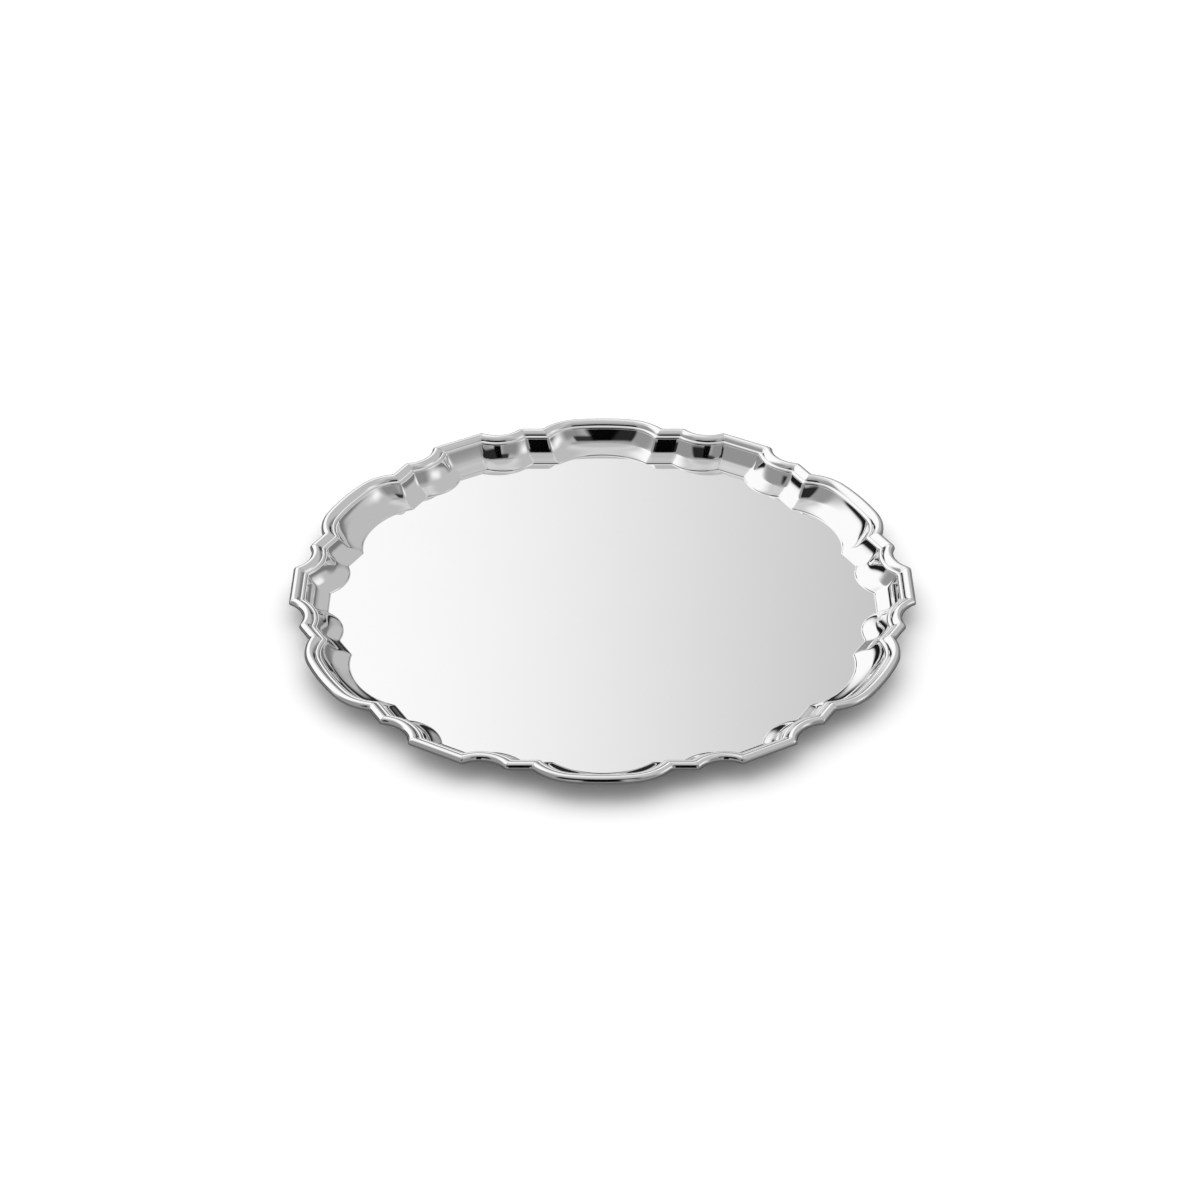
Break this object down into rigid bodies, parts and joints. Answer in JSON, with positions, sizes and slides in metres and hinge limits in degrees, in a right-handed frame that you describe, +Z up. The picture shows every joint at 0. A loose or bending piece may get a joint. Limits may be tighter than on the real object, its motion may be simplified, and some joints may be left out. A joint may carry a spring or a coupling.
{
  "type": "silver salver",
  "caption": "Round polished silver salver with a flat well, a hollow wall and a shaped Chippendale border of lobes, steps, scallops and straight brackets under an applied roll moulding.",
  "frame": {"origin": "centre of the flat underside, on the surface the salver stands on", "axes": "+Z up, out of the well; +Y is the axis of one lobe and +X the middle of one straight bracket; the border repeats every 60 degrees about Z"},
  "size_m": [0.3064, 0.3088, 0.0133],
  "materials": {
    "body_silver": "polished",
    "moulding_silver": "polished"
  },
  "bodies": {
    "root": {"salver_body": "body_silver", "moulding_lobe_1": "moulding_silver", "moulding_lobe_2": "moulding_silver", "moulding_lobe_3": "moulding_silver", "moulding_lobe_4": "moulding_silver", "moulding_lobe_5": "moulding_silver", "moulding_lobe_6": "moulding_silver", "moulding_step_1": "moulding_silver", "moulding_step_2": "moulding_silver", "moulding_step_3": "moulding_silver", "moulding_step_4": "moulding_silver", "moulding_step_5": "moulding_silver", "moulding_step_6": "moulding_silver", "moulding_step_7": "moulding_silver", "moulding_step_8": "moulding_silver", "moulding_step_9": "moulding_silver", "moulding_step_10": "moulding_silver", "moulding_step_11": "moulding_silver", "moulding_step_12": "moulding_silver", "moulding_scallop_1": "moulding_silver", "moulding_scallop_2": "moulding_silver", "moulding_scallop_3": "moulding_silver", "moulding_scallop_4": "moulding_silver", "moulding_scallop_5": "moulding_silver", "moulding_scallop_6": "moulding_silver", "moulding_scallop_7": "moulding_silver", "moulding_scallop_8": "moulding_silver", "moulding_scallop_9": "moulding_silver", "moulding_scallop_10": "moulding_silver", "moulding_scallop_11": "moulding_silver", "moulding_scallop_12": "moulding_silver", "moulding_bracket_1": "moulding_silver", "moulding_bracket_2": "moulding_silver", "moulding_bracket_3": "moulding_silver", "moulding_bracket_4": "moulding_silver", "moulding_bracket_5": "moulding_silver", "moulding_bracket_6": "moulding_silver"}
  },
  "joints": []
}
